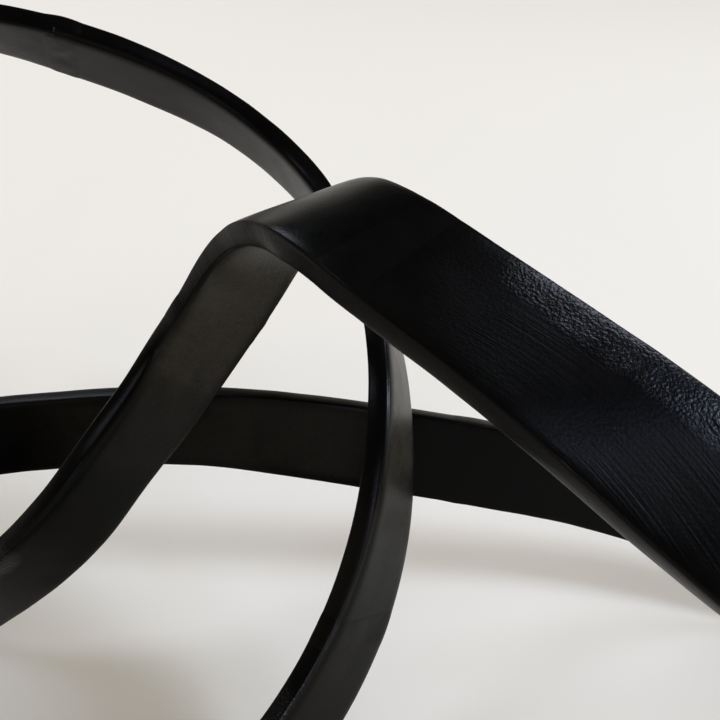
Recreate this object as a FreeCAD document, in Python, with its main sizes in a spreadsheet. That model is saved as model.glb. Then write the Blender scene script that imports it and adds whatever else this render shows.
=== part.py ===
import FreeCAD, Part
import math
import os
import Sketcher
from FreeCAD import Matrix, Placement, Vector

# Metal knot sculpture: one closed band of flat cast bar, welded up from eight bent lengths.
# X runs along the knot, Y runs away from the viewer and Z is up.
# The origin is on the table, under the middle of the knot.

# Driving dimensions, millimetres
SIZES = {
    "knot_length": 336.0,
    "knot_depth": 181.0,
    "knot_height": 147.0,
    "bar_width": 22.0,
    "bar_thickness": 5.3,
    "bar_corner_radius": 0.8,
    "weld_gap": 2.4,
    "weld_crown": 0.2,
    "foot_flat_depth": 0.8,
    "cut_overrun": 5.0,
}

# The band's path, one station to a row, in the order of one lap:
# shares of the knot's length, depth and height, then the way the bar's width points.
PATH_SHARES = [
    (-0.195, 0.415, 0.905, -0.4, 0.7, -0.7),
    (-0.100, 0.445, 0.795, -0.1, 0.7, -0.7),
    (-0.030, 0.390, 0.685, -0.1, 0.7, -0.7),
    (0.015, 0.220, 0.615, 0.2, 0.6, -0.9),
    (0.030, 0.020, 0.620, 0.2, 0.6, -0.7),
    (0.030, -0.075, 0.500, 0.3, 0.6, -0.7),
    (0.015, -0.145, 0.310, 0.4, 0.4, -1.1),
    (-0.040, -0.255, 0.140, 0.4, 0.2, -1.1),
    (-0.120, -0.365, 0.065, 0.3, 0.2, -0.9),
    (-0.245, -0.400, 0.085, 0.3, 0.1, -0.9),
    (-0.375, -0.360, 0.140, 0.2, 0.0, -1.0),
    (-0.470, -0.240, 0.205, 0.1, 0.0, -1.0),
    (-0.500, -0.080, 0.260, 0.0, 0.0, -1.0),
    (-0.455, 0.055, 0.295, 0.0, -0.1, -1.0),
    (-0.350, 0.135, 0.320, 0.0, -0.1, -1.1),
    (-0.215, 0.155, 0.345, -0.1, -0.1, -1.2),
    (-0.095, 0.135, 0.375, -0.1, -0.1, -1.0),
    (0.015, 0.085, 0.380, 0.0, -0.3, -1.0),
    (0.110, 0.075, 0.345, -0.4, -0.3, -0.9),
    (0.220, 0.105, 0.250, -0.3, -0.3, -1.0),
    (0.330, 0.085, 0.115, -0.3, -0.5, -0.8),
    (0.430, -0.010, 0.050, -0.4, -0.4, -0.9),
    (0.490, -0.170, 0.115, -0.4, -0.6, -0.7),
    (0.475, -0.340, 0.255, -0.4, -0.6, -0.6),
    (0.380, -0.450, 0.420, -0.5, -0.7, -0.6),
    (0.270, -0.460, 0.595, -0.5, -0.6, -0.6),
    (0.170, -0.385, 0.745, -0.6, -0.6, -0.7),
    (0.090, -0.295, 0.855, -0.7, -0.6, -0.1),
    (0.030, -0.215, 0.915, -0.6, -0.6, -0.2),
    (0.000, -0.150, 0.930, -1.0, -0.8, -0.1),
    (-0.020, -0.075, 0.890, -0.8, -0.5, -0.1),
    (-0.035, 0.000, 0.825, -0.9, -0.4, -0.1),
    (-0.055, 0.055, 0.740, -0.8, -0.5, 0.2),
    (-0.075, 0.080, 0.650, -0.8, -0.5, 0.4),
    (-0.100, 0.070, 0.570, -0.6, -0.4, 0.5),
    (-0.120, 0.035, 0.510, -0.5, -0.5, 0.8),
    (-0.145, -0.025, 0.465, -0.3, -0.4, 0.9),
    (-0.185, -0.075, 0.350, -0.3, -0.4, 0.9),
    (-0.265, -0.085, 0.210, -0.2, -0.4, 0.9),
    (-0.330, -0.010, 0.070, -0.5, -0.2, 1.0),
    (-0.400, 0.135, 0.060, -0.6, -0.4, 0.6),
    (-0.460, 0.285, 0.175, -0.4, -0.6, 0.7),
    (-0.490, 0.395, 0.390, -0.3, -0.8, 0.6),
    (-0.470, 0.440, 0.655, -0.2, -0.9, 0.4),
    (-0.405, 0.435, 0.880, 0.0, -1.0, 0.4),
    (-0.305, 0.410, 0.970, 0.1, -1.0, 0.6),
]

# The bent lengths, in the order of the lap
BARS = (
    "bar_back_arch",
    "bar_front_foot",
    "bar_back_rail",
    "bar_right_foot",
    "bar_front_ramp",
    "bar_crest",
    "bar_left_leg",
    "bar_left_riser",
)
BARS_ON_TABLE = ("bar_front_foot", "bar_right_foot", "bar_left_leg")

# The welds, each at the start of its bent length, and the seams' places as shares of one lap of stations
WELDS = (
    "weld_top_left",
    "weld_arch_end",
    "weld_front_left",
    "weld_back_rail",
    "weld_right_lobe",
    "weld_crest_right",
    "weld_crest_left",
    "weld_left_lobe",
)
SEAM_SHARES = (-0.002, 0.132, 0.228, 0.385, 0.511, 0.615, 0.722, 0.902)

SECTIONS_PER_STATION = 2
SAMPLES_PER_STATION = 16
STATIONS = len(PATH_SHARES)


def make_sheet(doc):
    """The driving dimensions, one named cell each."""
    sheet = doc.addObject("Spreadsheet::Sheet", "Sizes")
    for row, (name, value) in enumerate(SIZES.items(), start=1):
        sheet.set(f"A{row}", name)
        sheet.set(f"B{row}", str(value))
        sheet.setAlias(f"B{row}", name)
    doc.recompute()
    return sheet


def curve_weights(place):
    """Weights of the four stations round a place on a smooth cubic curve, and how they change."""
    first = math.floor(place) - 1
    step = place - math.floor(place)
    back = 1 - step
    weights = [
        back**3 / 6,
        (3 * step**3 - 6 * step**2 + 4) / 6,
        (3 * back**3 - 6 * back**2 + 4) / 6,
        step**3 / 6,
    ]
    slopes = [
        -back**2 / 2,
        (3 * step**2 - 4 * step) / 2,
        -(3 * back**2 - 4 * back) / 2,
        step**2 / 2,
    ]
    return first, weights, slopes


def station_point(sizes, station):
    """A station of the path, with the lap closed on itself."""
    along, away, up = PATH_SHARES[station % STATIONS][:3]
    return Vector(along * sizes.knot_length, away * sizes.knot_depth, up * sizes.knot_height)


def station_width_way(station):
    """The way the bar's width points at a station. It turns over once a lap: the band has a half twist."""
    half_turns = station // STATIONS
    sign = -1 if half_turns % 2 else 1
    return Vector(*PATH_SHARES[station % STATIONS][3:]) * sign


class Spot:
    """One place on the band: its centre, and the ways along the bar, across its width and through it."""

    def __init__(self, sizes, place):
        first, weights, slopes = curve_weights(place)
        self.centre = Vector()
        self.along = Vector()
        width_way = Vector()
        for offset, (weight, slope) in enumerate(zip(weights, slopes)):
            point = station_point(sizes, first + offset)
            self.centre += point * weight
            self.along += point * slope
            width_way += station_width_way(first + offset) * weight
        self.run_per_station = self.along.Length
        self.along.normalize()
        self.across = width_way - self.along * width_way.dot(self.along)
        self.across.normalize()
        self.through = self.along.cross(self.across)

    def reach(self, sizes, way):
        """How far the bar's section reaches from its centre in a direction."""
        across = abs(self.across.dot(way)) * sizes.bar_width / 2
        through = abs(self.through.dot(way)) * sizes.bar_thickness / 2
        return across + through

    def placement(self, shift):
        """A section's own frame here: X across the width, Y through the bar, Z along it."""
        rows = zip(self.across, self.through, self.along, self.centre + shift)
        return Placement(Matrix(*[value for row in rows for value in row]))


def resting_shift(sizes):
    """The move that centres the knot over the origin and sinks its feet by the flat's depth."""
    spots = [Spot(sizes, step / SAMPLES_PER_STATION) for step in range(STATIONS * SAMPLES_PER_STATION)]
    middle = []
    lowest = []
    for way in (Vector(1, 0, 0), Vector(0, 1, 0), Vector(0, 0, 1)):
        low = min(spot.centre.dot(way) - spot.reach(sizes, way) for spot in spots)
        high = max(spot.centre.dot(way) + spot.reach(sizes, way) for spot in spots)
        middle.append((low + high) / 2)
        lowest.append(low)
    return Vector(-middle[0], -middle[1], -lowest[2] - sizes.foot_flat_depth)


def seam_half_step(sizes, place):
    """Half a weld gap, in stations, at a place."""
    return sizes.weld_gap / 2 / Spot(sizes, place).run_per_station


def add_section(doc, sizes, name, place, shift, crown=""):
    """A rounded rectangle across the bar at one place, bound to the sheet's sizes."""
    sketch = doc.addObject("Sketcher::SketchObject", name)
    grow = sizes.weld_crown if crown else 0
    half_width = sizes.bar_width / 2 + grow
    half_thickness = sizes.bar_thickness / 2 + grow
    radius = sizes.bar_corner_radius
    right = half_width - radius
    top = half_thickness - radius
    lines = [
        (Vector(-right, -half_thickness), Vector(right, -half_thickness)),
        (Vector(half_width, -top), Vector(half_width, top)),
        (Vector(right, half_thickness), Vector(-right, half_thickness)),
        (Vector(-half_width, top), Vector(-half_width, -top)),
    ]
    for start, end in lines:
        sketch.addGeometry(Part.LineSegment(start, end))
    corners = [(right, -top, 3), (right, top, 0), (-right, top, 1), (-right, -top, 2)]
    for corner_x, corner_y, quarter in corners:
        circle = Part.Circle(Vector(corner_x, corner_y), Vector(0, 0, 1), radius)
        sketch.addGeometry(Part.ArcOfCircle(circle, quarter * math.pi / 2, (quarter + 1) * math.pi / 2))
    for corner in range(4):
        sketch.addConstraint(Sketcher.Constraint("Tangent", corner, 2, 4 + corner, 1))
        sketch.addConstraint(Sketcher.Constraint("Tangent", 4 + corner, 2, (corner + 1) % 4, 1))
    for corner in range(1, 4):
        sketch.addConstraint(Sketcher.Constraint("Equal", 4, 4 + corner))
    sketch.addConstraint(Sketcher.Constraint("Horizontal", 0))
    sketch.addConstraint(Sketcher.Constraint("Symmetric", 4, 3, 6, 3, -1, 1))
    sizes_of_section = [
        ("radius", Sketcher.Constraint("Radius", 4, radius), "Sizes.bar_corner_radius"),
        ("width", Sketcher.Constraint("DistanceX", 7, 3, 4, 3, 2 * right),
         f"Sizes.bar_width{crown} - 2 * Sizes.bar_corner_radius"),
        ("thickness", Sketcher.Constraint("DistanceY", 4, 3, 5, 3, 2 * top),
         f"Sizes.bar_thickness{crown} - 2 * Sizes.bar_corner_radius"),
    ]
    for label, constraint, expression in sizes_of_section:
        index = sketch.addConstraint(constraint)
        sketch.renameConstraint(index, label)
        sketch.setExpression(f"Constraints.{label}", expression)
    sketch.Placement = Spot(sizes, place).placement(shift)
    return sketch


def add_loft(doc, name, sections):
    """A solid skinned over sections in order."""
    loft = doc.addObject("Part::Loft", name)
    loft.Sections = sections
    loft.Solid = True
    return loft


def add_bar(doc, sizes, name, start, end, shift):
    """One bent length of bar, from the seam at its start to the seam at its end."""
    first = start + seam_half_step(sizes, start)
    last = end - seam_half_step(sizes, end)
    steps = math.ceil((end - start) * SECTIONS_PER_STATION)
    sections = []
    for step in range(steps + 1):
        place = first + (last - first) * step / steps
        sections.append(add_section(doc, sizes, f"{name}_section_{step}", place, shift))
    return add_loft(doc, name, sections)


def add_table_slab(doc, sizes):
    """The waste below the table line, which the feet are filed down to."""
    slab = doc.addObject("Part::Box", "below_table")
    slab.setExpression("Length", "Sizes.knot_length + 2 * Sizes.cut_overrun")
    slab.setExpression("Width", "Sizes.knot_depth + 2 * Sizes.cut_overrun")
    slab.setExpression("Height", "Sizes.bar_width")
    slab.setExpression("Placement.Base.x", "-Sizes.knot_length / 2 - Sizes.cut_overrun")
    slab.setExpression("Placement.Base.y", "-Sizes.knot_depth / 2 - Sizes.cut_overrun")
    slab.setExpression("Placement.Base.z", "-Sizes.bar_width")
    return slab


def file_flat(doc, bar, slab):
    """A bar with its foot filed flat on the table."""
    bar.Label = f"{bar.Name}_as_bent"
    foot = doc.addObject("Part::Cut", f"{bar.Name}_on_table")
    foot.Base = bar
    foot.Tool = slab
    foot.Label = bar.Name
    return foot


def add_weld(doc, sizes, name, place, shift):
    """Weld metal that fills the seam between two lengths, with a low crown all round."""
    half_step = seam_half_step(sizes, place)
    sections = [
        add_section(doc, sizes, f"{name}_start", place - half_step, shift),
        add_section(doc, sizes, f"{name}_crown", place, shift, crown=" + 2 * Sizes.weld_crown"),
        add_section(doc, sizes, f"{name}_end", place + half_step, shift),
    ]
    return add_loft(doc, name, sections)


def check_document(doc, pieces):
    """Every object computed, and every piece one valid solid."""
    for item in doc.Objects:
        if "Invalid" in item.State or "Error" in item.State:
            raise RuntimeError(f"{item.Name} is in state {item.State}")
    for piece in pieces:
        if piece.Shape.isNull() or not piece.Shape.isValid() or len(piece.Shape.Solids) != 1:
            raise RuntimeError(f"{piece.Label} is not one valid solid")


def main():
    doc = FreeCAD.newDocument("metal_knot")
    sizes = make_sheet(doc)
    shift = resting_shift(sizes)
    slab = add_table_slab(doc, sizes)
    pieces = []
    seams = [share * STATIONS for share in SEAM_SHARES]
    seams.append(seams[0] + STATIONS)
    for index, name in enumerate(BARS):
        bar = add_bar(doc, sizes, name, seams[index], seams[index + 1], shift)
        if name in BARS_ON_TABLE:
            bar = file_flat(doc, bar, slab)
        pieces.append(bar)
        pieces.append(add_weld(doc, sizes, WELDS[index], seams[index], shift))
    doc.recompute()
    check_document(doc, pieces)
    os.makedirs("parts", exist_ok=True)
    for piece in pieces:
        piece.Shape.exportStep(f"parts/{piece.Label}.step")
        box = piece.Shape.optimalBoundingBox()
        print(f"{piece.Label}: {piece.Shape.Volume:.0f} mm3, lowest {box.ZMin:.2f}, highest {box.ZMax:.1f}")


main()
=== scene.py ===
import bpy
import math
import numpy as np
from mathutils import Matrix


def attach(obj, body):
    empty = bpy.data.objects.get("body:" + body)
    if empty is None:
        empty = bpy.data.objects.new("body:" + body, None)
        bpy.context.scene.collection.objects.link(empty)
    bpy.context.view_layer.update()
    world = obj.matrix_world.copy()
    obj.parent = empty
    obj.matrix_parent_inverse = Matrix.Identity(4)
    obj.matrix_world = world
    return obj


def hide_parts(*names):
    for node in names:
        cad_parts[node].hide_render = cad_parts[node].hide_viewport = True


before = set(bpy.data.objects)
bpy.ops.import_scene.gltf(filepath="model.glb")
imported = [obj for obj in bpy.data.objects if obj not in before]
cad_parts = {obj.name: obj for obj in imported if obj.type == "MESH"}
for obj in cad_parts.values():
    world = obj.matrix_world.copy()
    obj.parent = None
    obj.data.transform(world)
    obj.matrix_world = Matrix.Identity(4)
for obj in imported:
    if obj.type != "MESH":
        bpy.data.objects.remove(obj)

bl_info = {
    "name": "Metal Knot Sculpture",
    "version": (1, 0, 0),
    "blender": (4, 5, 0),
    "location": "3D View > Sidebar > Knot",
    "description": "A closed band of flat cast bar in an open knot, welded from bent lengths, painted black",
    "category": "Add Mesh",
}

# One closed band of flat bar. X runs along the knot, Y away from the viewer, Z up, in metres.
MM = 0.001

# The band's path, the same stations as in the construction, in the order of one lap:
# shares of the knot's length, depth and height, then the way the bar's width points.
PATH_SHARES = [
    (-0.195, 0.415, 0.905, -0.4, 0.7, -0.7),
    (-0.100, 0.445, 0.795, -0.1, 0.7, -0.7),
    (-0.030, 0.390, 0.685, -0.1, 0.7, -0.7),
    (0.015, 0.220, 0.615, 0.2, 0.6, -0.9),
    (0.030, 0.020, 0.620, 0.2, 0.6, -0.7),
    (0.030, -0.075, 0.500, 0.3, 0.6, -0.7),
    (0.015, -0.145, 0.310, 0.4, 0.4, -1.1),
    (-0.040, -0.255, 0.140, 0.4, 0.2, -1.1),
    (-0.120, -0.365, 0.065, 0.3, 0.2, -0.9),
    (-0.245, -0.400, 0.085, 0.3, 0.1, -0.9),
    (-0.375, -0.360, 0.140, 0.2, 0.0, -1.0),
    (-0.470, -0.240, 0.205, 0.1, 0.0, -1.0),
    (-0.500, -0.080, 0.260, 0.0, 0.0, -1.0),
    (-0.455, 0.055, 0.295, 0.0, -0.1, -1.0),
    (-0.350, 0.135, 0.320, 0.0, -0.1, -1.1),
    (-0.215, 0.155, 0.345, -0.1, -0.1, -1.2),
    (-0.095, 0.135, 0.375, -0.1, -0.1, -1.0),
    (0.015, 0.085, 0.380, 0.0, -0.3, -1.0),
    (0.110, 0.075, 0.345, -0.4, -0.3, -0.9),
    (0.220, 0.105, 0.250, -0.3, -0.3, -1.0),
    (0.330, 0.085, 0.115, -0.3, -0.5, -0.8),
    (0.430, -0.010, 0.050, -0.4, -0.4, -0.9),
    (0.490, -0.170, 0.115, -0.4, -0.6, -0.7),
    (0.475, -0.340, 0.255, -0.4, -0.6, -0.6),
    (0.380, -0.450, 0.420, -0.5, -0.7, -0.6),
    (0.270, -0.460, 0.595, -0.5, -0.6, -0.6),
    (0.170, -0.385, 0.745, -0.6, -0.6, -0.7),
    (0.090, -0.295, 0.855, -0.7, -0.6, -0.1),
    (0.030, -0.215, 0.915, -0.6, -0.6, -0.2),
    (0.000, -0.150, 0.930, -1.0, -0.8, -0.1),
    (-0.020, -0.075, 0.890, -0.8, -0.5, -0.1),
    (-0.035, 0.000, 0.825, -0.9, -0.4, -0.1),
    (-0.055, 0.055, 0.740, -0.8, -0.5, 0.2),
    (-0.075, 0.080, 0.650, -0.8, -0.5, 0.4),
    (-0.100, 0.070, 0.570, -0.6, -0.4, 0.5),
    (-0.120, 0.035, 0.510, -0.5, -0.5, 0.8),
    (-0.145, -0.025, 0.465, -0.3, -0.4, 0.9),
    (-0.185, -0.075, 0.350, -0.3, -0.4, 0.9),
    (-0.265, -0.085, 0.210, -0.2, -0.4, 0.9),
    (-0.330, -0.010, 0.070, -0.5, -0.2, 1.0),
    (-0.400, 0.135, 0.060, -0.6, -0.4, 0.6),
    (-0.460, 0.285, 0.175, -0.4, -0.6, 0.7),
    (-0.490, 0.395, 0.390, -0.3, -0.8, 0.6),
    (-0.470, 0.440, 0.655, -0.2, -0.9, 0.4),
    (-0.405, 0.435, 0.880, 0.0, -1.0, 0.4),
    (-0.305, 0.410, 0.970, 0.1, -1.0, 0.6),
]
STATIONS = len(PATH_SHARES)

# How finely the path is sampled for its box, and for the distance along it
BOX_SAMPLES_PER_STATION = 16
RUN_SAMPLES_PER_STATION = 64

# Where each bent length begins, as a share of one lap of stations
BAR_START_SHARES = {
    "bar_back_arch": -0.002,
    "bar_front_foot": 0.132,
    "bar_back_rail": 0.228,
    "bar_right_foot": 0.385,
    "bar_front_ramp": 0.511,
    "bar_crest": 0.615,
    "bar_left_leg": 0.722,
    "bar_left_riser": 0.902,
}

# The weld at the start of each bent length, and how proud it was left, as a share of the proudest one
WELD_PROUD_SHARES = {
    "weld_top_left": 1.0,
    "weld_arch_end": 0.5,
    "weld_front_left": 0.6,
    "weld_back_rail": 0.5,
    "weld_right_lobe": 0.6,
    "weld_crest_right": 0.1,
    "weld_crest_left": 0.7,
    "weld_left_lobe": 0.6,
}

# The soft lamps round the table: name, bearing from the far side towards the right and height above the
# table in degrees, distance, width and height in metres, radiance and colour.
LAMPS = [
    ("right_window", 105, 36, 1.6, 0.30, 0.35, 32.0, "E2EDFF"),
    ("right_front_window", 116, 52, 1.6, 0.20, 0.20, 13.0, "C8DAFF"),
    ("front_window", 190, 20, 1.6, 0.20, 0.20, 18.0, "DDE6FF"),
    ("right_low_window", 103, 20, 1.6, 0.35, 0.40, 5.6, "D2EBFF"),
    ("right_back_window", 55, 50, 1.6, 0.50, 0.50, 5.8, "E2EAFF"),
    ("left_back_window", 325, 40, 1.6, 0.50, 0.50, 8.2, "E6F1FF"),
    ("left_window", 257, 50, 1.6, 0.40, 0.40, 7.0, "EAEDFF"),
    ("overhead", 0, 85, 1.6, 0.60, 0.60, 0.3, "FFEBD5"),
]

# Strips of cast skin that were left unsanded: where they begin and end as shares of one lap of stations,
# the edge that they follow, as the signs of the ways across and through the bar (0 for both broad faces),
# and their width as a share of the widest.
CAST_STRIP_SHARES = [
    (0.470, 0.606, -1, 1, 1.0),
    (0.800, 0.930, 1, -1, 1.0),
    (0.135, 0.210, -1, 0, 0.15),
    (0.270, 0.370, 1, 1, 0.7),
]

# The stretch up the right loop and along the ramp that was sanded last, where the strokes are fresh, as
# shares of the lap
SANDED_SHARES = (0.440, 0.604)

# Corners that were rounded over by hand, in the same way: beginning, end, and the signs of the two ways
ROUNDED_CORNER_SHARES = [
    (0.05, 0.22, -1, 1),
    (0.63, 0.86, 1, -1),
    (-0.04, 0.06, -1, -1),
]

# The corner of the back arch that hands polished, in the same way
POLISHED_CORNER_SHARES = (0.06, 0.20, -1, 1)

# Where the narrow side was filed crosswise, over the crest to the top of the left leg, as shares of the lap
FILED_SHARES = (0.632, 0.728)

# Broad faces on which a light grey is painted as a painted reflection of the pale table: where they begin and
# end as shares of the lap, the sign of the way through, and how strong the painted reflection is at the two
# ends
PAINTED_REFLECTION_SHARES = [
    (0.660, 0.757, -1, 1.0, 0.50),
    (0.735, 0.790, -1, 0.50, 0.0),
    (0.068, 0.116, 1, 1.0, 0.5),
    (-0.03, 0.060, -1, 0.1, 0.3),
    (0.320, 0.375, -1, 0.2, 0.2),
]

# Over how many stations the finish eases at both ends of a stretch of the lap
STRETCH_EASE_STATIONS = 0.5

# How wide the bell of a corner's wear is, and the soft border of the painted reflection, in corner radii
WEAR_RADII = 1.5
PAINTED_REFLECTION_BORDER_RADII = 5


def linear(hex_colour):
    """An sRGB hex colour as linear red, green and blue: each share over 0.04045 is eased by the power 2.4."""
    shares = [int(hex_colour[place:place + 2], 16) / 255 for place in (0, 2, 4)]
    return [share / 12.92 if share <= 0.04045 else ((share + 0.055) / 1.055) ** 2.4 for share in shares]


def length(name, description, millimetres):
    """A length that the user can change."""
    return bpy.props.FloatProperty(
        name=name, description=description, default=millimetres * MM, unit="LENGTH")


def colour(name, description, hex_colour):
    """A colour that the user can change."""
    return bpy.props.FloatVectorProperty(
        name=name, description=description, default=linear(hex_colour), subtype="COLOR", min=0, max=1)


class KnotSizes(bpy.types.PropertyGroup):
    """The knot's sizes, as the construction has them."""

    knot_length: length("Knot length", "Length of the box that the path's shares are of", 336)
    knot_depth: length("Knot depth", "Depth of the box that the path's shares are of", 181)
    knot_height: length("Knot height", "Height of the box that the path's shares are of", 147)
    bar_width: length("Bar width", "Width of the flat bar", 22)
    bar_thickness: length("Bar thickness", "Thickness of the flat bar", 5.3)
    corner_radius: length("Corner radius", "Round of the bar's four corners", 0.8)
    foot_flat_depth: length("Foot flat depth", "How much is filed off where the band meets the table", 0.8)
    weld_gap: length("Weld gap", "Seam between two bent lengths that the weld fills", 2.4)


class KnotFinish(bpy.types.PropertyGroup):
    """The knot's surface: how uneven the casting and its dressing are, and the paint."""

    long_wave: length("Long wave", "Depth of the slow hollows that bending leaves", 0.5)
    long_wave_pitch: length("Long wave pitch", "Distance over which the slow hollows change", 20)
    short_wave: length("Short wave", "Height of the small dents of casting and dressing", 0.06)
    short_wave_pitch: length("Short wave pitch", "Distance over which the small dents change", 6)
    weld_reach: length("Weld reach", "How far a dressed weld spreads each side of its seam", 4.5)
    weld_crown: length("Weld crown", "How far the proudest dressed weld stands over the bar", 0.16)
    weld_skin: length("Weld skin", "How far even a flush weld covers the bar's ends", 0.02)
    weld_lump: length("Weld lump", "Height of the lumps left on a dressed weld", 0.12)
    weld_lump_pitch: length("Weld lump pitch", "Distance over which the lumps change", 2.6)
    ring_step: length("Ring step", "Distance between the mesh's rings along the bar", 0.8)
    grain_pitch: length("Grain pitch", "Size of the sand grains that the casting copies", 0.5)
    stroke_pitch: length("Stroke pitch", "Distance between sanding strokes", 0.45)
    stroke_run: length("Stroke run", "Length of a sanding stroke", 28)
    stroke_sway: length("Stroke sway", "How far sanding strokes sway across the bar", 14)
    stroke_sway_run: length("Stroke sway run", "Distance along the bar of one sway to and fro", 200)
    stroke_sway_start: length("Stroke sway start", "Distance along the band at which a sway begins", 969)
    file_pitch: length("File pitch", "Distance between the file's ribs on the crest", 0.45)
    file_stroke: length("File stroke", "Length of a file's rib", 9)
    edge_ease: length("Edge ease", "How much the file took off the bar's corners", 0.15)
    cast_strip: length("Cast strip", "Width of the strips of cast skin that sanding left", 6.5)
    strip_rise: length("Strip rise", "How far a strip of cast skin rises to its edge", 0.12)
    round_over: length("Round over", "How much was taken off the corners that were rounded by hand", 0.4)
    round_reach: length("Round reach", "How far from the corner the rounding reaches", 1.6)
    polish_reach: length("Polish reach", "How far from the corner hands polished the paint", 1.0)
    bar_relief: length("Bar relief", "Height of the grain and the tool marks on the bars", 0.3)
    weld_relief: length("Weld relief", "Height of the grain and the tool marks on the welds", 0.36)
    paint: colour("Paint", "Satin black paint", "040404")
    worn_paint: colour("Worn paint", "The same paint where hands and dust have greyed it", "070605")
    # Painted reflection: a light grey that stands for the pale table reflected in some broad faces
    painted_reflection_colour: colour("Painted reflection", "Light grey painted on as the pale table's reflection", "38342D")


class KnotStage(bpy.types.PropertyGroup):
    """The table, the light and the camera round the knot."""

    camera_right: length("Camera right", "Camera's place along the knot", 3.04)
    camera_near: length("Camera near", "How far the camera stands on the viewer's side", 140.52)
    camera_height: length("Camera height", "Camera's height over the table", 189.46)
    camera_dip: bpy.props.FloatProperty(
        name="Camera dip", description="How far the camera looks down", default=math.radians(35),
        subtype="ANGLE")
    lens: bpy.props.FloatProperty(
        name="Lens", description="Focal length on a sensor 36 mm wide", default=42.5, unit="CAMERA")
    table_radius: length("Table radius", "How far the pale table reaches", 1000)
    table: colour("Table", "Pale matt table top", "E4E1DC")
    backdrop: colour("Backdrop", "Pale wall behind the table", "E2DDD4")
    ceiling: colour("Ceiling", "Dark ceiling over the table", "1A1A1A")
    room: colour("Room", "The dim light that comes from all round", "C1B8A4")


def unit(vectors):
    """Vectors divided by their own lengths."""
    return vectors / np.linalg.norm(vectors, axis=-1, keepdims=True)


def curve_weights(step):
    """The weights of four stations in a row on a smooth cubic curve, at a share step of the way from the
    second to the third, and how fast the weights change: four cubics in the step that add up to one."""
    back = 1 - step
    weights = np.stack([back**3, 3 * step**3 - 6 * step**2 + 4, 3 * back**3 - 6 * back**2 + 4, step**3]) / 6
    slopes = np.stack([-back**2, 3 * step**2 - 4 * step, 4 * back - 3 * back**2, step**2]) / 2
    return weights, slopes


def band_at(sizes, places):
    """The band's centre, and the ways along it, across its width and through it, at places in stations.
    The centre is the weighted sum of four stations, the way along is its slope, and the way across is the
    weighted sum of the stations' own ways, squared up to the path. It turns over once a lap."""
    weights, slopes = curve_weights(places - np.floor(places))
    stations = np.floor(places).astype(int) - 1 + np.arange(4)[:, None]
    rows = np.array(PATH_SHARES)[stations % STATIONS]
    points = rows[..., :3] * (sizes.knot_length, sizes.knot_depth, sizes.knot_height)
    half_turn = np.where(stations // STATIONS % 2, -1, 1)
    centre = (weights[..., None] * points).sum(axis=0)
    along = unit((slopes[..., None] * points).sum(axis=0))
    across = ((weights * half_turn)[..., None] * rows[..., 3:]).sum(axis=0)
    across = unit(across - along * (across * along).sum(axis=-1, keepdims=True))
    return centre, along, across, np.cross(along, across)


def resting_shift(sizes):
    """The move that centres the knot over the origin and sinks its feet by the depth of their flats.
    The bar's section reaches half its width and half its thickness from the centre line."""
    centre, along, across, through = band_at(sizes, np.arange(0, STATIONS, 1 / BOX_SAMPLES_PER_STATION))
    reach = abs(across) * sizes.bar_width / 2 + abs(through) * sizes.bar_thickness / 2
    low = (centre - reach).min(axis=0)
    high = (centre + reach).max(axis=0)
    shift = -(low + high) / 2
    shift[2] = -low[2] - sizes.foot_flat_depth
    return shift


def band_runs(sizes):
    """Places a small share of a station apart, from one station before the lap to one after it, and the
    distance along the band at each: the running sum of the straight steps between them."""
    places = np.arange(-1, STATIONS + 1, 1 / RUN_SAMPLES_PER_STATION)
    centre = band_at(sizes, places)[0]
    steps = np.linalg.norm(np.diff(centre, axis=0), axis=1)
    return places, np.concatenate([[0], np.cumsum(steps)])


class Profile:
    """The outline of the bar's section, a rectangle with four quarter-round corners, anticlockwise from the
    corner on the right of the lower side: points, the outward way at each, and the distance round. The
    steps are those of a corner, a narrow side and a broad side."""

    CORNER_STEPS = 4
    NARROW_STEPS = 6
    BROAD_STEPS = 22

    def __init__(self, sizes):
        radius = sizes.corner_radius
        right = sizes.bar_width / 2 - radius
        top = sizes.bar_thickness / 2 - radius
        corners = np.array([(right, -top), (right, top), (-right, top), (-right, -top)])
        points = []
        outward = []
        for quarter, steps in enumerate((self.NARROW_STEPS, self.BROAD_STEPS) * 2):
            angle = (quarter - 1 + np.linspace(0, 1, self.CORNER_STEPS + 1)) * math.pi / 2
            way = np.stack([np.cos(angle), np.sin(angle)], axis=1)
            arc = corners[quarter] + radius * way
            next_start = corners[(quarter + 1) % 4] + radius * way[-1]
            share = np.linspace(0, 1, steps + 1)[1:-1, None]
            points += [arc, arc[-1] * (1 - share) + next_start * share]
            outward += [way, np.repeat(way[-1:], steps - 1, axis=0)]
        self.points = np.concatenate(points)
        self.outward = np.concatenate(outward)
        steps = np.linalg.norm(np.roll(self.points, -1, axis=0) - self.points, axis=1)
        self.round = np.concatenate([[0], np.cumsum(steps)])


# Numbers without a common measure, which keep the values of near cells unlike
LATTICE_WAYS = np.array([12.9898, 78.233, 37.719])
LATTICE_REACH = 43758.5453


def lattice_value(cells):
    """A fixed value from 0 to 1 for each whole-number cell: the fraction of a large multiple of a sine."""
    value = np.sin(cells @ LATTICE_WAYS) * LATTICE_REACH
    return value - np.floor(value)


def smooth_noise(points, pitch):
    """Values from -1 to 1 that change smoothly over a pitch: the values of the eight cell corners round a
    point, blended by the smooth step 3t^2 - 2t^3 of its share of the cell each way."""
    cell = np.floor(points / pitch)
    share = points / pitch - cell
    share = share * share * (3 - 2 * share)
    total = 0
    for corner in np.ndindex(2, 2, 2):
        weight = np.where(corner, share, 1 - share).prod(axis=-1)
        total = total + weight * lattice_value(cell + corner)
    return 2 * total - 1


def casting_relief(finish, points):
    """How far the cast surface stands out from the plain bar: slow hollows and small dents, each a smooth
    noise of the point in space, so that the relief runs on from one bent length to the next. The hollows
    only go inwards."""
    slow = finish.long_wave * (smooth_noise(points, finish.long_wave_pitch) - 1) / 2
    small = finish.short_wave * smooth_noise(points, finish.short_wave_pitch)
    return slow + small


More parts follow.
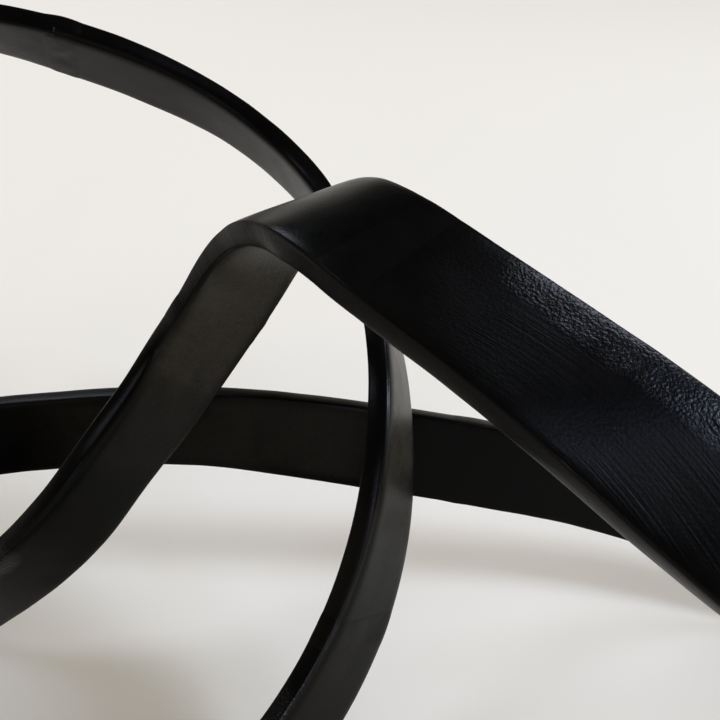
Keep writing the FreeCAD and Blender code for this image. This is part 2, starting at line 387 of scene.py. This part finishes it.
def smooth_step(share):
    """A share held between 0 and 1, eased at both ends: 3t^2 - 2t^3."""
    share = np.clip(share, 0, 1)
    return share * share * (3 - 2 * share)


def band_surface(sizes, places, lift):
    """The bar's skin on a grid of places by points of the profile: the profile's point, carried by the
    band's ways across and through, and moved outwards by lift(plain points). What would reach under the
    table is brought up to it, which makes the feet flat."""
    profile = Profile(sizes)
    centre, along, across, through = band_at(sizes, places)
    centre = (centre + resting_shift(sizes))[:, None]
    across = across[:, None]
    through = through[:, None]
    plain = centre + across * profile.points[:, :1] + through * profile.points[:, 1:]
    outward = across * profile.outward[:, :1] + through * profile.outward[:, 1:]
    skin = plain + outward * lift(plain)[..., None]
    skin[..., 2] = np.maximum(skin[..., 2], 0)
    return skin


def edge_share(sizes):
    """How near each point of the profile is to a corner, from 0 to 1: a bell of its distance to the middle
    of the nearest corner's round."""
    profile = Profile(sizes)
    inset = sizes.corner_radius * (1 - math.sqrt(0.5))
    corner = np.array([sizes.bar_width, sizes.bar_thickness]) / 2 - inset
    away = np.linalg.norm(abs(profile.points) - corner, axis=1)
    return np.exp(-(away / (WEAR_RADII * sizes.corner_radius)) ** 2)


def window_share(places, first, last):
    """How far places are inside a stretch of the lap, from 0 to 1, eased at both ends."""
    inside = np.minimum(places - first * STATIONS, last * STATIONS - places)
    return smooth_step(inside / STRETCH_EASE_STATIONS)


def cast_share(sizes, finish, places):
    """How much cast skin is left at each place and point of the profile, from 0 to 1: beside the strip's
    edge it is full to half the strip's width, and eases to nothing at one and a half widths."""
    points = Profile(sizes).points
    share = np.zeros((len(places), len(points)))
    for first, last, across_side, through_side, width_share in CAST_STRIP_SHARES:
        from_edge = sizes.bar_width / 2 - across_side * points[:, 0]
        beside = smooth_step(1.5 - from_edge / (finish.cast_strip * width_share))
        beside = beside * (through_side * points[:, 1] >= 0)
        share = np.maximum(share, window_share(places, first, last)[:, None] * beside)
    return share


def corner_bell(sizes, reach, places, first, last, across_side, through_side):
    """A bell of the distance from one corner of the bar, as wide as the reach, over a stretch of the lap."""
    corner = np.array([across_side * sizes.bar_width, through_side * sizes.bar_thickness]) / 2
    away = np.linalg.norm(Profile(sizes).points - corner, axis=1)
    return window_share(places, first, last)[:, None] * np.exp(-(away / reach) ** 2)


def dressing(sizes, finish, places):
    """How much dressing took off the plain bar at each place and point of the profile: a little at all four
    corners, more at the corners that were rounded by hand, and less than nothing on the cast strips of one
    broad face, which rise to their edge as the square of the share of the widest strip's width."""
    points = Profile(sizes).points
    taken = np.tile(finish.edge_ease * edge_share(sizes), (len(places), 1))
    for corner in ROUNDED_CORNER_SHARES:
        taken += finish.round_over * corner_bell(sizes, finish.round_reach, places, *corner)
    for first, last, across_side, through_side, _ in CAST_STRIP_SHARES:
        from_edge = sizes.bar_width / 2 - across_side * points[:, 0]
        rise = np.clip(1 - from_edge / finish.cast_strip, 0, 1) ** 2 * (through_side * points[:, 1] > 0)
        taken -= finish.strip_rise * window_share(places, first, last)[:, None] * rise
    return taken


def filed_share(sizes, places):
    """How far the narrow side was filed crosswise, from 0 to 1: only the side that the way across points to,
    and only over the filed stretch."""
    narrow = Profile(sizes).points[:, 0] > sizes.bar_width / 2 - sizes.corner_radius
    return window_share(places, *FILED_SHARES)[:, None] * narrow


def painted_reflection_share(sizes, places):
    """How much painted reflection of the pale table lies on the paint, from 0 to 1: on one broad face, easing
    off to its borders, and changing evenly from the first end of the stretch to the last."""
    points = Profile(sizes).points
    border = PAINTED_REFLECTION_BORDER_RADII * sizes.corner_radius
    inside = smooth_step((sizes.bar_width / 2 - abs(points[:, 0])) / border)
    share = np.zeros((len(places), len(points)))
    for first, last, through_side, first_share, last_share in PAINTED_REFLECTION_SHARES:
        reflection_strength = np.interp(places / STATIONS, (first, last), (first_share, last_share))
        facing = inside * (through_side * points[:, 1] > 0)
        share = np.maximum(share, (reflection_strength * window_share(places, first, last))[:, None] * facing)
    return share


def finish_shares(sizes, finish, places):
    """The values that the paint reads at each point of the skin. The sanding strokes are full on the fresh
    stretch and a third as deep elsewhere."""
    return {
        "sanded_share": (1 + 2 * window_share(places, *SANDED_SHARES)[:, None]) / 3,
        "edge_share": edge_share(sizes),
        "polished_share": corner_bell(sizes, finish.polish_reach, places, *POLISHED_CORNER_SHARES),
        # The painted reflection of the pale table on some broad faces
        "painted_reflection_share": painted_reflection_share(sizes, places),
        "cast_share": cast_share(sizes, finish, places),
        "filed_share": filed_share(sizes, places),
    }


def stroke_sway(finish, runs):
    """How far a sanding stroke has swayed across the bar: a sine of the distance along it."""
    turn = 2 * math.pi * (runs - finish.stroke_sway_start) / finish.stroke_sway_run
    return finish.stroke_sway * np.sin(turn)


def add_tube(name, skin, runs, rounds, sway, shares):
    """A closed mesh over a grid of rings: one quad to each cell, joined round, and one flat face to each end.
    The map along_and_round holds the distance along and round the bar, the map sanding the same with the
    strokes' sway taken off the distance round, and each share is one value at every vertex."""
    rings, sides = skin.shape[:2]
    ring, side = np.mgrid[0:rings - 1, 0:sides]
    corner_rings = np.stack([ring, ring, ring + 1, ring + 1], axis=-1).reshape(-1)
    corner_sides = np.stack([side, side + 1, side + 1, side], axis=-1).reshape(-1)
    quads = corner_rings * sides + corner_sides % sides
    first_end = np.arange(sides)[::-1]
    last_end = (rings - 1) * sides + np.arange(sides)
    corners = np.concatenate([quads, first_end, last_end])
    starts = np.concatenate([np.arange(0, len(quads), 4), [len(quads), len(quads) + sides]])
    mesh = bpy.data.meshes.new(name)
    mesh.vertices.add(rings * sides)
    mesh.vertices.foreach_set("co", skin.reshape(-1))
    mesh.loops.add(len(corners))
    mesh.loops.foreach_set("vertex_index", corners)
    mesh.polygons.add(len(starts))
    mesh.polygons.foreach_set("loop_start", starts)
    smooth = np.ones(len(starts), dtype=bool)
    smooth[-2:] = False
    mesh.polygons.foreach_set("use_smooth", smooth)
    mesh.update(calc_edges=True)
    for map_name, share_of_sway in (("along_and_round", 0), ("sanding", 1)):
        flat_map = np.zeros((len(corners), 2))
        flat_map[:len(quads), 0] = runs[corner_rings]
        flat_map[:len(quads), 1] = rounds[corner_sides] - share_of_sway * sway[corner_rings]
        mesh.uv_layers.new(name=map_name).data.foreach_set("uv", flat_map.reshape(-1))
    for share_name, values in shares.items():
        attribute = mesh.attributes.new(share_name, "FLOAT", "POINT")
        attribute.data.foreach_set("value", np.broadcast_to(values, (rings, sides)).reshape(-1))
    if mesh.validate():
        raise RuntimeError(f"{name} has faces that don't hold")
    piece = bpy.data.objects.new(name, mesh)
    bpy.context.scene.collection.objects.link(piece)
    return piece


def finish_piece(piece, node, material):
    """Puts the paint on a piece, and the piece in its node's place."""
    piece.data.materials.append(material)
    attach(piece, "root")
    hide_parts(node)


def add_node(tree, kind, inputs=(), **settings):
    """Adds a node with its settings. Each input is a value, or an output of another node to link."""
    node = tree.nodes.new(kind)
    for name, value in settings.items():
        setattr(node, name, value)
    for name, value in dict(inputs).items():
        if isinstance(value, bpy.types.NodeSocket):
            tree.links.new(value, node.inputs[name])
        else:
            node.inputs[name].default_value = value
    return node


def new_material(name):
    """An empty node material, its tree and its surface shader."""
    material = bpy.data.materials.new(name)
    material.use_nodes = True
    return material, material.node_tree, material.node_tree.nodes["Principled BSDF"]


# The relief is a sum of patterns. Their heights are shares of the relief: the grain on sanded and on cast
# skin, what it gains under the painted reflection, the sanding strokes on sanded and on cast skin, and the
# file's ribs.
GRAIN_SHARES = (0.08, 0.36)
PAINTED_REFLECTION_GRAIN_SHARE = 0.12
STROKE_SHARES = (0.12, 0.03)
RIB_SHARE = 0.35

# The patches and the cast share are added up. The sums at which cast skin begins and is full, and the same
# for the paint that pooled on it.
CAST_SUMS = (0.7, 1.3)
POOLED_SUMS = (0.9, 1.6)

# Roughness on the bars and on the welds, and what changes it: the patches either way, cast and filed skin
BAR_ROUGHNESS = 0.31
WELD_ROUGHNESS = 0.36
PATCH_ROUGHNESS = 0.04
CAST_ROUGHNESS = -0.10
FILED_ROUGHNESS = 0.25

# The values of the patches between which the roughness changes
PATCH_VALUES = (0.3, 0.7)

# The glossy coat on pooled paint and on the polished corner, full at 1, and its roughness
POOLED_COAT = 0.55
POLISHED_COAT = 0.6
COAT_ROUGHNESS = 0.27

# The paint's index of refraction. A gloss paint's is about 1.5: a lower one stands for the shine that
# matting takes away.
MATTED_INDEX = 1.15


def skin_patterns(tree, finish):
    """The outputs that the paint reads, by name: the shares that the mesh carries and the noises over it.
    Grain and patches are noises of the point in space. Strokes and ribs are noises of the unrolled skin,
    drawn out along the bar and across it. Cast skin is eased between two sums of its share and the patches,
    which makes its border ragged."""
    shares = ("edge_share", "polished_share", "cast_share", "filed_share", "painted_reflection_share", "sanded_share")
    patterns = {
        share: add_node(tree, "ShaderNodeAttribute", attribute_name=share).outputs["Fac"] for share in shares}
    place = add_node(tree, "ShaderNodeTexCoord").outputs["Object"]
    for name, pitch, detail, harshness in (
            ("grain", finish.grain_pitch, 1, 0.5),
            ("patches", finish.short_wave_pitch, 3, 0.6)):
        patterns[name] = add_node(tree, "ShaderNodeTexNoise", {
            "Vector": place, "Scale": 1 / pitch, "Detail": detail, "Roughness": harshness}).outputs["Fac"]
    for name, map_name, along, across, detail, harshness in (
            ("strokes", "sanding", finish.stroke_run, finish.stroke_pitch, 2, 0.7),
            ("ribs", "along_and_round", finish.file_pitch, finish.file_stroke, 1, 0.5)):
        unrolled = add_node(tree, "ShaderNodeUVMap", uv_map=map_name).outputs["UV"]
        drawn_out = add_node(tree, "ShaderNodeMapping", {
            "Vector": unrolled, "Scale": (1 / along, 1 / across, 1)}).outputs["Vector"]
        patterns[name] = add_node(tree, "ShaderNodeTexNoise", {
            "Vector": drawn_out, "Scale": 1, "Detail": detail, "Roughness": harshness},
            noise_dimensions="2D").outputs["Fac"]
    patterns["cast_sum"] = add_node(tree, "ShaderNodeMath", {
        0: patterns["patches"], 1: patterns["cast_share"]}, operation="ADD").outputs["Value"]
    patterns["cast_skin"] = add_node(tree, "ShaderNodeMapRange", {
        "Value": patterns["cast_sum"], "From Min": CAST_SUMS[0], "From Max": CAST_SUMS[1],
        "To Min": 0, "To Max": 1}, interpolation_type="SMOOTHSTEP").outputs["Result"]
    return patterns


def relief_normal(tree, patterns, relief):
    """The way the skin faces once the patterns have raised it: the sum of the grain, the strokes and the
    ribs, each less its middle value and times its share of the relief."""
    grain_share = add_node(tree, "ShaderNodeMapRange", {
        "Value": patterns["cast_skin"], "To Min": GRAIN_SHARES[0], "To Max": GRAIN_SHARES[1]})
    reflection_grain_share = add_node(tree, "ShaderNodeMath", {
        0: patterns["painted_reflection_share"], 1: PAINTED_REFLECTION_GRAIN_SHARE, 2: grain_share.outputs["Result"]},
        operation="MULTIPLY_ADD")
    stroke_fade = add_node(tree, "ShaderNodeMapRange", {
        "Value": patterns["cast_skin"], "To Min": STROKE_SHARES[0], "To Max": STROKE_SHARES[1]})
    stroke_share = add_node(tree, "ShaderNodeMath", {
        0: stroke_fade.outputs["Result"], 1: patterns["sanded_share"]}, operation="MULTIPLY")
    rib_share = add_node(tree, "ShaderNodeMath", {
        0: patterns["filed_share"], 1: RIB_SHARE}, operation="MULTIPLY")
    height = 0
    for name, share in (("grain", reflection_grain_share), ("strokes", stroke_share), ("ribs", rib_share)):
        centred = add_node(tree, "ShaderNodeMath", {0: patterns[name], 1: 0.5}, operation="SUBTRACT")
        height = add_node(tree, "ShaderNodeMath", {
            0: centred.outputs["Value"], 1: share.outputs["Value"], 2: height},
            operation="MULTIPLY_ADD").outputs["Value"]
    return add_node(tree, "ShaderNodeBump", {
        "Height": height, "Distance": relief, "Strength": 1}).outputs["Normal"]


def paint_tone(tree, finish, patterns):
    """The paint's colour: greyer by the greater of the patches and the edges, and then lighter by the painted
    reflection share times the sum of the grain and the patches: a mottled painted reflection of the pale
    table."""
    greying = add_node(tree, "ShaderNodeMath", {
        0: patterns["patches"], 1: patterns["edge_share"]}, operation="MAXIMUM")
    tint = add_node(tree, "ShaderNodeMix", {
        "Factor": greying.outputs["Value"], "A": (*finish.paint, 1), "B": (*finish.worn_paint, 1)},
        data_type="RGBA")
    mottle = add_node(tree, "ShaderNodeMath", {
        0: patterns["grain"], 1: patterns["patches"]}, operation="ADD")
    # Painted reflection: the paint is mixed towards a light grey that stands for the pale table reflected
    # here
    reflection_amount = add_node(tree, "ShaderNodeMath", {
        0: patterns["painted_reflection_share"], 1: mottle.outputs["Value"]}, operation="MULTIPLY", use_clamp=True)
    reflected_tone = add_node(tree, "ShaderNodeMix", {
        "Factor": reflection_amount.outputs["Value"], "A": tint.outputs[2], "B": (*finish.painted_reflection_colour, 1)},
        data_type="RGBA")
    return reflected_tone.outputs[2]


def paint_roughness(tree, patterns, roughness):
    """The paint's roughness: the usual one, changed by the patches, the cast skin and the filed skin."""
    changed = add_node(tree, "ShaderNodeMapRange", {
        "Value": patterns["patches"], "From Min": PATCH_VALUES[0], "From Max": PATCH_VALUES[1],
        "To Min": roughness - PATCH_ROUGHNESS, "To Max": roughness + PATCH_ROUGHNESS}).outputs["Result"]
    for share, change in (("cast_skin", CAST_ROUGHNESS), ("filed_share", FILED_ROUGHNESS)):
        changed = add_node(tree, "ShaderNodeMath", {
            0: patterns[share], 1: change, 2: changed}, operation="MULTIPLY_ADD").outputs["Value"]
    return changed


def paint_coat(tree, patterns):
    """How much of a glossy coat lies over the paint: that of the pooled paint and the polished corner."""
    pooled = add_node(tree, "ShaderNodeMapRange", {
        "Value": patterns["cast_sum"], "From Min": POOLED_SUMS[0], "From Max": POOLED_SUMS[1],
        "To Min": 0, "To Max": POOLED_COAT})
    return add_node(tree, "ShaderNodeMath", {
        0: patterns["polished_share"], 1: POLISHED_COAT, 2: pooled.outputs["Result"]},
        operation="MULTIPLY_ADD").outputs["Value"]


def paint_material(name, finish, relief, roughness):
    """Satin black paint, sprayed over sand-cast metal that was dressed by hand. The cast grain shows through
    the paint as fine pebbles, strongest on the strips that sanding left. Elsewhere sanding leaves long
    shallow strokes that sway across the bar, and the file leaves crosswise ribs on the crest. The paint
    pooled and dried glossier on the cast strips, and hands polished one corner of the back arch: both are a
    glossy coat. The paint is greyer in patches and along all the corners, and on some broad faces a mottled
    light grey is painted in as a painted reflection of the pale table. Its matting swallows light that meets
    it straight on and shines at a low angle."""
    material, tree, shader = new_material(name)
    patterns = skin_patterns(tree, finish)
    normal = relief_normal(tree, patterns, relief)
    tree.links.new(paint_tone(tree, finish, patterns), shader.inputs["Base Color"])
    tree.links.new(paint_roughness(tree, patterns, roughness), shader.inputs["Roughness"])
    tree.links.new(paint_coat(tree, patterns), shader.inputs["Coat Weight"])
    tree.links.new(normal, shader.inputs["Normal"])
    tree.links.new(normal, shader.inputs["Coat Normal"])
    shader.inputs["Coat Roughness"].default_value = COAT_ROUGHNESS
    shader.inputs["IOR"].default_value = MATTED_INDEX
    return material


class KNOT_OT_bars(bpy.types.Operator):
    """Makes the eight bent lengths of cast bar."""

    bl_idname = "knot.bars"
    bl_label = "Bars"

    def execute(self, context):
        sizes = context.scene.knot_sizes
        finish = context.scene.knot_finish
        material = paint_material(
            "sand_cast_metal_satin_black_paint", finish, finish.bar_relief, BAR_ROUGHNESS)
        all_places, all_runs = band_runs(sizes)
        seams = [share * STATIONS for share in BAR_START_SHARES.values()]
        seams.append(seams[0] + STATIONS)
        for index, node in enumerate(BAR_START_SHARES):
            first, last = np.interp([seams[index], seams[index + 1]], all_places, all_runs)
            first += sizes.weld_gap / 2
            last -= sizes.weld_gap / 2
            runs = np.linspace(first, last, math.ceil((last - first) / finish.ring_step))
            places = np.interp(runs, all_runs, all_places)
            taken = dressing(sizes, finish, places)
            skin = band_surface(sizes, places, lambda points: casting_relief(finish, points) - taken)
            shares = finish_shares(sizes, finish, places)
            sway = stroke_sway(finish, runs)
            piece = add_tube(f"{node}_cast", skin, runs, Profile(sizes).round, sway, shares)
            finish_piece(piece, node, material)
        return {"FINISHED"}


class KNOT_OT_welds(bpy.types.Operator):
    """Makes the eight dressed welds over the seams between the bent lengths."""

    bl_idname = "knot.welds"
    bl_label = "Welds"

    RINGS = 25

    def execute(self, context):
        sizes = context.scene.knot_sizes
        finish = context.scene.knot_finish
        material = paint_material(
            "dressed_weld_satin_black_paint", finish, finish.weld_relief, WELD_ROUGHNESS)
        all_places, all_runs = band_runs(sizes)
        for (node, proud), share in zip(WELD_PROUD_SHARES.items(), BAR_START_SHARES.values()):
            seam = np.interp(share * STATIONS, all_places, all_runs)
            runs = seam + finish.weld_reach * np.linspace(-1, 1, self.RINGS)
            places = np.interp(runs, all_runs, all_places)
            reach = (runs - seam)[:, None] / finish.weld_reach
            taken = dressing(sizes, finish, places)

            def lift(points):
                """The bar's own relief, over it a lumpy crown that falls with the square of the share of the
                reach, and a skin that falls with its fourth power and dips under the bar at both ends."""
                lumps = finish.weld_lump * smooth_noise(points, finish.weld_lump_pitch)
                crown = (finish.weld_crown + lumps) * proud * (1 - reach**2)
                skin = finish.weld_skin * (1 - 4 * reach**4)
                return casting_relief(finish, points) - taken + crown + skin

            skin = band_surface(sizes, places, lift)
            shares = finish_shares(sizes, finish, places)
            sway = stroke_sway(finish, runs)
            piece = add_tube(f"{node}_dressed", skin, runs, Profile(sizes).round, sway, shares)
            finish_piece(piece, node, material)
        return {"FINISHED"}


class KNOT_OT_stage(bpy.types.Operator):
    """Sets up the pale table, the soft light and the camera."""

    bl_idname = "knot.stage"
    bl_label = "Stage"

    TABLE_SIDES = 96

    # The rise of a view's direction, as the upward share of its length, up to which the room is as pale as
    # the backdrop, and from which it is as dark as the ceiling
    DUSK_RISES = (0.12, 0.28)

    # The width of the lens's sensor in millimetres, and the nearest that the camera sees
    SENSOR_WIDTH = 36
    NEAREST_SEEN = 10 * MM

    # The matt table top's roughness, and its shine, of which 0.5 is the usual
    TABLE_ROUGHNESS = 0.9
    TABLE_SHINE = 0.1

    def execute(self, context):
        stage = context.scene.knot_stage
        self.add_camera(context, stage)
        self.add_table(context, stage)
        for name, bearing, rise, distance, width, height, radiance, tint in LAMPS:
            self.add_lamp(context, name, bearing, rise, distance, width, height, radiance, linear(tint))
        self.set_world(context, stage)
        context.scene.view_settings.view_transform = "Standard"
        return {"FINISHED"}

    def add_camera(self, context, stage):
        """The camera, close over the near side of the knot, looking along Y and down by its dip."""
        data = bpy.data.cameras.new("camera")
        data.sensor_width = self.SENSOR_WIDTH
        data.lens = stage.lens
        data.clip_start = self.NEAREST_SEEN
        camera = bpy.data.objects.new("camera", data)
        camera.location = (stage.camera_right, -stage.camera_near, stage.camera_height)
        camera.rotation_euler = (math.pi / 2 - stage.camera_dip, 0, 0)
        context.scene.collection.objects.link(camera)
        context.scene.camera = camera

    def add_table(self, context, stage):
        """A round flat table top, one face over points on a circle, far wider than the knot. Its matt top
        hardly shines."""
        angle = np.linspace(0, 2 * math.pi, self.TABLE_SIDES + 1)[:-1]
        rim = np.stack([np.cos(angle), np.sin(angle), 0 * angle], axis=1) * stage.table_radius
        mesh = bpy.data.meshes.new("table")
        mesh.from_pydata(rim, [], [list(range(len(rim)))])
        table = bpy.data.objects.new("table", mesh)
        context.scene.collection.objects.link(table)
        material, tree, shader = new_material("matt_pale_table")
        shader.inputs["Base Color"].default_value = (*stage.table, 1)
        shader.inputs["Roughness"].default_value = self.TABLE_ROUGHNESS
        shader.inputs["Specular IOR Level"].default_value = self.TABLE_SHINE
        mesh.materials.append(material)

    def add_lamp(self, context, name, bearing, rise, distance, width, height, radiance, tint):
        """A soft rectangular lamp that faces the knot. Its power is its radiance times its area times pi."""
        data = bpy.data.lights.new(name, "AREA")
        data.shape = "RECTANGLE"
        data.size = width
        data.size_y = height
        data.energy = radiance * math.pi * width * height
        data.color = tint
        lamp = bpy.data.objects.new(name, data)
        bearing = math.radians(bearing)
        rise = math.radians(rise)
        way = (math.sin(bearing) * math.cos(rise), math.cos(bearing) * math.cos(rise), math.sin(rise))
        lamp.location = [distance * share for share in way]
        lamp.rotation_euler = (math.pi / 2 - rise, 0, math.pi - bearing)
        lamp.visible_camera = False
        context.scene.collection.objects.link(lamp)

    def set_world(self, context, stage):
        """A dim pale room round the table. Seen in the paint, and beyond the table's edge, it is pale low
        down and dark from a little over the table: the rise of the view's own direction blends the two."""
        world = bpy.data.worlds.new("room")
        world.use_nodes = True
        tree = world.node_tree
        way = add_node(tree, "ShaderNodeTexCoord").outputs["Generated"]
        rise = add_node(tree, "ShaderNodeSeparateXYZ", {0: way}).outputs["Z"]
        dusk = add_node(tree, "ShaderNodeMapRange", {
            "Value": rise, "From Min": self.DUSK_RISES[0], "From Max": self.DUSK_RISES[1],
            "To Min": 0, "To Max": 1},
            interpolation_type="SMOOTHSTEP")
        seen = add_node(tree, "ShaderNodeMix", {
            "Factor": dusk.outputs["Result"], "A": (*stage.backdrop, 1), "B": (*stage.ceiling, 1)},
            data_type="RGBA")
        path = add_node(tree, "ShaderNodeLightPath")
        shade = add_node(tree, "ShaderNodeMix", {
            "Factor": path.outputs["Is Diffuse Ray"], "A": seen.outputs[2], "B": (*stage.room, 1)},
            data_type="RGBA")
        tree.links.new(shade.outputs[2], tree.nodes["Background"].inputs["Color"])
        context.scene.world = world


class KNOT_PT_panel(bpy.types.Panel):
    """Lists the knot's sizes, its finish and the steps that make it."""

    bl_label = "Metal Knot"
    bl_idname = "KNOT_PT_panel"
    bl_space_type = "VIEW_3D"
    bl_region_type = "UI"
    bl_category = "Knot"

    def draw(self, context):
        for group in (context.scene.knot_sizes, context.scene.knot_finish, context.scene.knot_stage):
            box = self.layout.box()
            for name in group.__annotations__:
                box.prop(group, name)
        for operator in STEPS:
            self.layout.operator(operator.bl_idname)


GROUPS = {"knot_sizes": KnotSizes, "knot_finish": KnotFinish, "knot_stage": KnotStage}
STEPS = (KNOT_OT_stage, KNOT_OT_bars, KNOT_OT_welds)


def register():
    for name, group in GROUPS.items():
        bpy.utils.register_class(group)
        setattr(bpy.types.Scene, name, bpy.props.PointerProperty(type=group))
    for item in (*STEPS, KNOT_PT_panel):
        bpy.utils.register_class(item)


def unregister():
    for item in (KNOT_PT_panel, *reversed(STEPS)):
        bpy.utils.unregister_class(item)
    for name, group in reversed(GROUPS.items()):
        delattr(bpy.types.Scene, name)
        bpy.utils.unregister_class(group)


def main():
    """Makes the whole scene."""
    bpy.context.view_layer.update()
    register()
    bpy.ops.knot.stage()
    bpy.ops.knot.bars()
    bpy.ops.knot.welds()


if __name__ == "__main__":
    main()
